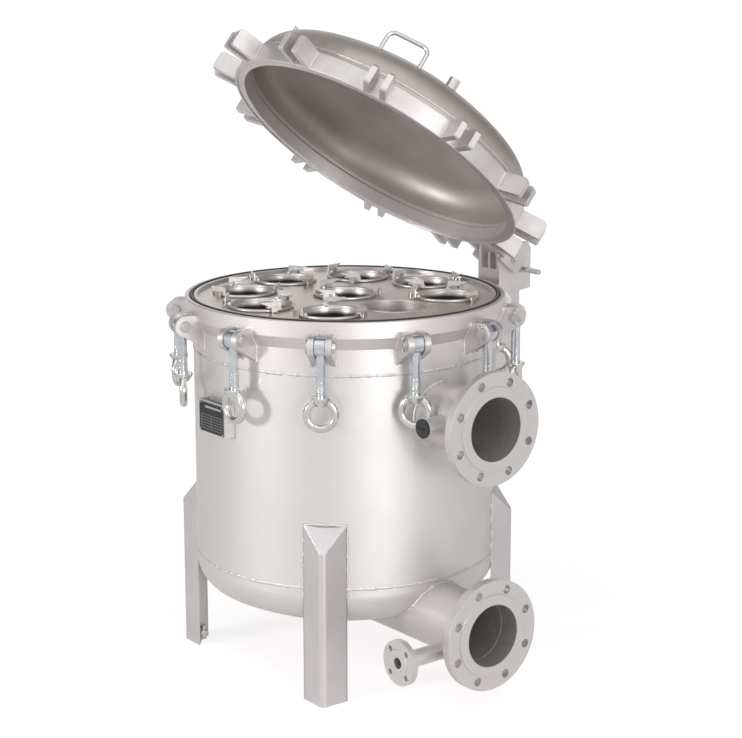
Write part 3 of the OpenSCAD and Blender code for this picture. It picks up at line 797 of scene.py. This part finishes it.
@dataclass
class Branches:
    """The drain branch and the gauge socket with its plug."""

    inlet_r: float
    socket_r: float = 25 * MM
    drain_r: float = 21.2 * MM

    def build(self) -> None:
        """Dress the branches and weld them to the nozzle necks."""
        SHOP.dress(BLASTED, "branches")
        SHOP.dress(DRAIN_STEEL, "drain_flange")
        SHOP.dress(BLACK_PLASTIC, "plug")
        low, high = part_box("plug")
        y, z = (low.y + high.y) / 2, (low.z + high.z) / 2
        weld("socket_saddle", HOUSING, [(self.ring_on_neck(y, z, INLET[2], self.socket_r), True)], 3.2)
        branch = self.ring_on_neck(DRAIN[1], DRAIN[2], OUTLET[2], self.drain_r)
        weld("drain_saddle", HOUSING, [(branch, True)], 3.0)
        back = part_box("drain_flange")[1].x
        circle = [(back, DRAIN[1] + self.drain_r * math.cos(t), DRAIN[2] + self.drain_r * math.sin(t))
                  for t in angles(48)]
        weld("drain_flange_weld", HOUSING, [(circle, True)], 2.6)

    def ring_on_neck(self, y: float, z: float, neck_z: float, radius: float) -> Path:
        """Line where a round branch towards -X meets a nozzle neck."""
        path: Path = []
        for turn in angles(64):
            height = z + radius * math.sin(turn) - neck_z
            path.append((-math.sqrt(max(0.0, self.inlet_r ** 2 - height ** 2)),
                         y + radius * math.cos(turn), neck_z + height))
        return path


@dataclass
class Legs:
    """Four bent-angle legs with their stitch welds, base plates and anchor bolts."""

    vessel: Vessel
    width: float = 80 * MM
    stitch: float = 14 * MM
    pitch: float = 36 * MM
    cap_slope: float = -1.28

    def build(self) -> None:
        """Dress the legs and weld their edges to the shell."""
        SHOP.dress(BENT_PLATE, "legs")
        SHOP.dress(TURNED_PIN, "foot_bolts")
        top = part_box("legs")[1].z
        shell_r = self.vessel.shell_r
        half = self.width / math.sqrt(2)
        lines = []
        for k in range(4):
            for side in (-1, 1):
                edge_t = side * half
                edge_r = math.sqrt(shell_r ** 2 - edge_t ** 2)
                z = self.vessel.low - self.vessel.straight
                while z < top - self.pitch:
                    path = [(edge_r, edge_t, z), (edge_r, edge_t, z + self.stitch)]
                    lines.append((turned(path, 45 + 90 * k), False))
                    z += self.pitch
            cap = []
            for i in range(13):
                t = half * (2 * i / 12 - 1)
                r = math.sqrt(shell_r ** 2 - t ** 2)
                cap.append((r, t, top + (shell_r - r) * self.cap_slope))
            lines.append((turned(cap, 45 + 90 * k), False))
        weld("leg_welds", HOUSING, lines, 3.2)


@dataclass
class BoltStations:
    """Twelve lugs, pins, swing bolts and eye nuts round the closure."""

    vessel: Vessel
    lug_t: float = 16 * MM
    lug_gap: float = 28 * MM
    thread_pitch: float = 3 * MM
    thread_r: float = 11.3 * MM
    thread_turns: float = 13.0

    def build(self) -> None:
        """Dress every station, weld the lugs and cut the threads."""
        SHOP.dress(PICKLED, "bolt_lugs")
        SHOP.dress(TURNED_PIN, "lug_pins")
        swings = [j for j in frame["joints"] if j["child"].startswith("swing_bolt_")]
        lines = []
        inner, outer = self.lug_gap / 2, self.lug_gap / 2 + self.lug_t
        v = self.vessel
        rim = v.joint - v.ring_rim
        root = [(v.ring_r, rim + 14 * MM), (v.ring_r, rim),
                (v.shell_r, rim - v.cone), (v.shell_r, rim - 74 * MM)]
        pins = []
        for joint in swings:
            x, y, _ = joint["pos_m"]
            turn = math.degrees(math.atan2(y, x))
            pins.append((turned(self.split_pin(joint), turn), False))
            for offset in (-outer, -inner, inner, outer):
                path = [(math.sqrt(r * r - offset * offset), offset, h) for r, h in root]
                lines.append((turned(path, turn), False))
        weld("lug_welds", HOUSING, lines, 4.0, 4.0, 1.0)
        bar("split_pins", HOUSING, pins, 1.6, TURNED_PIN, 1.5)
        for joint in swings:
            self.station(joint)

    def split_pin(self, joint: dict) -> Path:
        """Bent wire of the split pin behind a lug pin's washer, for a lug on the X axis.

        Args:
            joint: the station's swing joint.

        Returns:
            The wire's points, from one end round the loop to the other.
        """
        x, y, z = joint["pos_m"]
        r = math.hypot(x, y)
        t = -(self.lug_gap / 2 + self.lug_t + 5.4 * MM)
        loop = [(r + 4.5 * MM * math.sin(a), t, z + (18 - 5 * math.cos(a)) * MM)
                for a in angles(16)[1:]]
        return [(r + 6 * MM, t, z - 18 * MM), (r + 0.8 * MM, t, z - 12 * MM), (r + 0.8 * MM, t, z + 12 * MM),
                *loop, (r - 0.8 * MM, t, z + 12 * MM), (r - 0.8 * MM, t, z - 12 * MM),
                (r - 5 * MM, t, z - 16 * MM)]

    def station(self, joint: dict) -> None:
        """Dress one swing bolt and its nut, and wind the bolt's thread."""
        bolt = joint["child"]
        nut = bolt.replace("swing_bolt", "eye_nut")
        SHOP.dress(BLUE_ZINC, bolt)
        SHOP.dress(YELLOW_ZINC, nut)
        x, y, _ = joint["pos_m"]
        nut_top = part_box(nut)[1].z
        thread = run_tree(new_object(bolt.replace("bolt", "thread"), bpy.data.meshes.new("thread")),
                          THREAD_TREE, {
            "Shaft radius": self.thread_r, "Pitch": self.thread_pitch, "Turns": self.thread_turns,
            "Foot": (x, y, nut_top + MM), "Metal": SHOP.get(BLUE_ZINC)})
        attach(thread, bolt)


@dataclass
class Lid:
    """The lid's ring, dome, lugs, arms, handle and fittings."""

    vessel: Vessel
    ring_h: float = 50 * MM
    seat: float = 0.3 * MM
    straight: float = 19 * MM
    lug_edges: tuple[int, ...] = (-30, -14, 14, 30)

    def pose(self, path: Path) -> Path:
        """Turn a path on the closed lid to where the open lid stands."""
        hinge = next(j for j in frame["joints"] if j["name"] == "lid_hinge")
        pivot = Vector(hinge["pos_m"])
        turn = Matrix.Rotation(math.radians(hinge["range_deg"][1]), 3, "Y")
        return [tuple(turn @ (Vector(p) - pivot) + pivot) for p in path]

    def build(self) -> None:
        """Dress the lid and lay its welds."""
        SHOP.dress(PICKLED, "lid_ring", "lid_lugs", "lid_arms")
        SHOP.dress(LID_PLATE, "lid_dome")
        SHOP.dress(POLISHED, "lid_handle")
        SHOP.dress(TURNED_PIN, "lid_fittings")
        v = self.vessel
        low = v.joint + self.seat
        top = low + self.ring_h
        seams = [(self.pose(ring_path(v.shell_r + MM, top)), True),
                 (self.pose(ring_path(v.shell_r - MM, top + self.straight)), True)]
        weld("lid_seams", LID, seams, 3.4)
        lines = []
        for k in range(LUG_COUNT):
            for offset in self.lug_edges:
                t = offset * MM
                r = math.sqrt(v.ring_r ** 2 - t * t)
                path = [(r, t, low + 3 * MM), (r, t, top - 2 * MM)]
                lines.append((self.pose(turned(path, 15 + 30 * k)), False))
        weld("lid_lug_welds", LID, lines, 2.6, 4.0, 1.0)


@dataclass
class Hinge:
    """Hinge post and pins."""

    vessel: Vessel
    plate_edges: tuple[int, ...] = (-44, -32, 32, 44)

    def build(self) -> None:
        """Dress the post and weld it to the shell."""
        SHOP.dress(PICKLED, "hinge_post")
        SHOP.dress(TURNED_PIN, "hinge_pins")
        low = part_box("hinge_post")[0].z
        v = self.vessel
        lines = []
        rim = v.joint - v.ring_rim
        root = [(v.shell_r, low), (v.shell_r, rim - v.cone), (v.ring_r, rim)]
        for t in self.plate_edges:
            offset = t * MM
            path = [(math.sqrt(r * r - offset * offset), offset, z) for r, z in root]
            lines.append((path, False))
        weld("post_welds", HOUSING, lines, 3.0)


@dataclass
class BagSeats:
    """Hold-down rings over the bag seats, with their lever tabs, knobs and the baskets' bails."""

    plate: float = 975 * MM
    ring_r: float = 81.5 * MM
    tab_r: float = 90 * MM
    tab_t: float = 3 * MM
    bail_r: float = 70.5 * MM
    bail_drop: float = 36 * MM
    bail_rise: float = 22 * MM
    bail_turn: float = 50.0
    knob_turn: float = 12.0
    knob_rise: float = 8 * MM
    turns: tuple[float, ...] = (84, 35, 98, 103, 36, 70, 14, 50)

    def build(self) -> None:
        """Dress the rings, and add the tabs, knobs and bails."""
        bails = []
        for k, turn in enumerate(self.turns, 1):
            name = f"hold_down_{k}"
            SHOP.dress(SKIRT, name)
            joint = next(j for j in frame["joints"] if j["child"] == name)
            x, y, _ = joint["pos_m"]
            piece = run_tree(new_object(f"lever_tabs_{k}", self.tab()), TAB_TREE, {
                "Count": 3, "Centre": (x, y, 0.0), "Turn": math.radians(turn), "Metal": SHOP.get(TUMBLED)})
            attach(piece, name)
            knobs = [(x + self.ring_r * math.cos(a), y + self.ring_r * math.sin(a),
                      self.plate + self.knob_rise)
                     for a in (math.radians(turn + 120 * i + self.knob_turn) for i in range(3))]
            heads(f"ring_knobs_{k}", name, knobs, (0.0, 0.0, 1.0), 6.0, 6.0, TUMBLED)
            bails.append((self.bail(x, y, turn + self.bail_turn), False))
        bar("basket_bails", HOUSING, bails, 3.0, POLISHED)

    def tab(self) -> bpy.types.Mesh:
        """One wedge-shaped lever tab on the X axis: tall at the strap, with its tip to one side."""
        outline = [(-32, 27), (20, 28), (22, 6), (15, 6), (-32, 25)]
        verts = [(self.tab_r + side * self.tab_t / 2, t * MM, self.plate + z * MM)
                 for side in (-1, 1) for t, z in outline]
        count = len(outline)
        faces = [tuple(range(count)), tuple(range(count, 2 * count))]
        faces += [(i, (i + 1) % count, count + (i + 1) % count, count + i) for i in range(count)]
        return closed_mesh("lever_tab", verts, faces)

    def bail(self, x: float, y: float, turn: float) -> Path:
        """Arched carrying bail across a basket's mouth.

        Args:
            x: the basket's axis.
            y: the basket's axis.
            turn: direction of the bail, in degrees.

        Returns:
            Its points from one end to the other.
        """
        along = Vector((math.cos(math.radians(turn)), math.sin(math.radians(turn)), 0.0))
        foot = Vector((x, y, self.plate - self.bail_drop))
        return [tuple(foot + along * (self.bail_r * math.cos(a))
                      + Vector((0.0, 0.0, self.bail_rise * math.sin(a))))
                for a in (math.pi * i / 24 for i in range(25))]


@dataclass
class NamePlate:
    """Enamelled plate with blank etched fields and four rivets."""

    rows: int = 5
    margin: float = 9 * MM
    line: float = 0.7 * MM

    def build(self) -> None:
        """Dress the plate, etch its blank fields and set its rivets."""
        SHOP.dress(BLASTED, "plate_bracket")
        SHOP.dress(BLACK_ENAMEL, "name_plate")
        low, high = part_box("name_plate")
        self.fields(low, high)
        inset = 4 * MM
        corners = [(low.x, y, z) for y in (low.y + inset, high.y - inset)
                   for z in (low.z + inset, high.z - inset)]
        heads("plate_rivets", HOUSING, corners, (-1.0, 0.0, 0.0), 2.4, 1.2, TURNED_PIN)

    def fields(self, low: Vector, high: Vector) -> None:
        """Etch rows of blank boxes, as on an unfilled plate."""
        verts: Path = []
        faces: list[tuple[int, ...]] = []
        x = low.x - 0.1 * MM
        height = 0.6 * (high.z - low.z - 2 * self.margin) / self.rows
        width = high.y - low.y - 2 * self.margin
        line = self.line

        def strip(y0: float, y1: float, z0: float, z1: float) -> None:
            """Add one thin flat box."""
            start = len(verts)
            verts.extend((px, py, pz) for px in (x, low.x + 0.1 * MM) for py in (y0, y1) for pz in (z0, z1))
            faces.extend(tuple(start + i for i in face) for face in (
                (0, 1, 3, 2), (4, 6, 7, 5), (0, 2, 6, 4), (1, 5, 7, 3), (0, 4, 5, 1), (2, 3, 7, 6)))

        for i in range(self.rows + 1):
            z = low.z + self.margin + i * height
            strip(low.y + self.margin, high.y - self.margin, z - line / 2, z + line / 2)
        for share in (0.0, 0.5, 1.0):
            y = low.y + self.margin + share * width
            strip(y - line / 2, y + line / 2, low.z + self.margin, low.z + self.margin + self.rows * height)
        strip(low.y + self.margin, high.y - 3 * self.margin, high.z - 1.6 * self.margin, high.z - self.margin)
        for z in (low.z + line, high.z - line):
            strip(low.y + line, high.y - line, z - line / 2, z + line / 2)
        for y in (low.y + line, high.y - line):
            strip(y - line / 2, y + line / 2, low.z + line, high.z - line)
        mesh = closed_mesh("plate_fields", verts, faces)
        piece = new_object("plate_fields", mesh)
        mesh.materials.append(SHOP.get(PLATE_PRINT))
        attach(piece, HOUSING)


@dataclass
class Studio:
    """Plain pale floor, soft light and the photograph's camera."""

    eye: Point = (-2.99397, -3.91534, 1.885)
    forward: Point = (0.60325, 0.76668, -0.21978)
    focal_px: float = 1902.22
    image_px: int = 742
    sensor_mm: float = 36.0
    floor_size: float = 60.0
    front: Point = (-0.6, -0.77, 0.2)
    backdrop: Point = (0.6, 0.77, 0.2)
    # Brightness of the studio from behind to the front, and where its white wall lies, by direction.
    sweep: tuple[float, ...] = (-0.3, 0.5, 0.15, 0.92)
    white_edge: tuple[float, float] = (0.72, 0.95)
    # The same brightness for light that isn't mirrored is evened out.
    soft_share: float = 0.3
    soft_least: float = 0.26
    # The floor is matt, with a share of its own light where it is seen, and less where it is mirrored.
    floor_tone: str = "#f4f2f1"
    floor_glow: float = 2.25
    glow_seen: float = 0.3
    glow_mirrored: float = 0.12

    def build(self) -> None:
        """Make the world, floor, lamps and camera."""
        bpy.context.scene.view_settings.view_transform = "Standard"
        self.world()
        self.floor()
        self.lamp("key", (-0.97, 0.14, 0.2), 1.12, 8)
        self.lamp("front", (-0.19, -0.98, 0.1), 1.2, 18)
        self.lamp("top", (-0.25, -0.35, 0.9), 0.35, 60)
        self.camera()

    @staticmethod
    def rays(tree: Tree) -> tuple[Socket, Socket]:
        """Tell the rays that see a thing as it is from those that mirror it."""
        path = add_node(tree, "ShaderNodeLightPath").outputs
        seen = calc(tree, "MAXIMUM", path["Is Camera Ray"], path["Is Transmission Ray"])
        return seen, path["Is Glossy Ray"]

    def world(self) -> None:
        """White behind the object, and a soft grey studio all round it."""
        world = bpy.data.worlds.new("studio")
        bpy.context.scene.world = world
        world.use_nodes = True
        tree = world.node_tree
        tree.nodes.clear()
        seen, glossy = self.rays(tree)
        where = add_node(tree, "ShaderNodeTexCoord").outputs["Generated"]
        sweep = ramp(tree, dot(tree, where, self.front), *self.sweep, kind="SMOOTHSTEP")
        white = ramp(tree, dot(tree, where, self.backdrop), *self.white_edge, kind="SMOOTHSTEP")
        soft = calc(tree, "MULTIPLY_ADD", sweep, self.soft_share, self.soft_least)
        around = pick(tree, glossy, soft, calc(tree, "MAXIMUM", sweep, white))
        light = add_node(tree, "ShaderNodeBackground", {
            "Color": (1.0, 1.0, 1.0, 1.0), "Strength": pick(tree, seen, around, 1.0)})
        add_node(tree, "ShaderNodeOutputWorld", {"Surface": light.outputs[0]})

    def floor(self) -> None:
        """A wide floor, lit from within in part, so that it looks white and keeps a faint shadow."""
        half = self.floor_size
        mesh = bpy.data.meshes.new("floor")
        corners = [(-half, -half, 0), (half, -half, 0), (half, half, 0), (-half, half, 0)]
        mesh.from_pydata(corners, [], [(0, 1, 2, 3)])
        piece = new_object("floor", mesh)
        material = bpy.data.materials.new("white sweep")
        material.use_nodes = True
        tree = material.node_tree
        tree.nodes.clear()
        seen, glossy = self.rays(tree)
        share = calc(tree, "MULTIPLY_ADD", seen, self.glow_seen,
                     calc(tree, "MULTIPLY", glossy, self.glow_mirrored))
        matt = add_node(tree, "ShaderNodeBsdfDiffuse", {"Color": linear(self.floor_tone)})
        white = add_node(tree, "ShaderNodeEmission", {
            "Color": (1.0, 1.0, 1.0, 1.0), "Strength": self.floor_glow})
        both = add_node(tree, "ShaderNodeMixShader", {
            0: share, 1: matt.outputs[0], 2: white.outputs[0]})
        add_node(tree, "ShaderNodeOutputMaterial", {"Surface": both.outputs[0]})
        mesh.materials.append(material)

    def lamp(self, name: str, towards: Point, strength: float, spread: float) -> None:
        """A far soft lamp that shines from a direction.

        Args:
            name: the lamp's name.
            towards: direction from the object to the lamp.
            strength: the sun's strength.
            spread: width of the lamp as seen from the object, in degrees.
        """
        data = bpy.data.lights.new(name, "SUN")
        data.energy = strength
        data.angle = math.radians(spread)
        lamp = new_object(name, data)
        lamp.rotation_euler = Vector(towards).to_track_quat("Z", "Y").to_euler()

    def camera(self) -> None:
        """Place the camera where the photograph was taken."""
        data = bpy.data.cameras.new("camera")
        data.sensor_width = self.sensor_mm
        data.lens = self.focal_px * self.sensor_mm / self.image_px
        data.clip_end = 200.0
        camera = new_object("camera", data)
        back = -Vector(self.forward).normalized()
        right = Vector((0.0, 0.0, 1.0)).cross(back).normalized()
        up = back.cross(right)
        camera.matrix_world = Matrix.Translation(self.eye) @ Matrix((right, up, back)).transposed().to_4x4()
        bpy.context.scene.camera = camera


def main() -> None:
    """Build each sub-assembly in order."""
    logging.basicConfig(level=logging.INFO, format="%(name)s: %(message)s")
    vessel = Vessel()
    pipe_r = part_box("inlet_pipe")[1].x
    Studio().build()
    parts = [
        vessel,
        Nozzle("inlet", INLET, pipe_r, INLET_STEEL, vessel),
        Nozzle("outlet", OUTLET, pipe_r, OUTLET_STEEL, vessel),
        Branches(pipe_r),
        Legs(vessel),
        BoltStations(vessel),
        BagSeats(),
        NamePlate(),
        Hinge(vessel),
        Lid(vessel),
    ]
    for part in parts:
        LOG.info("building %s", type(part).__name__)
        part.build()


if __name__ == "__main__":
    main()
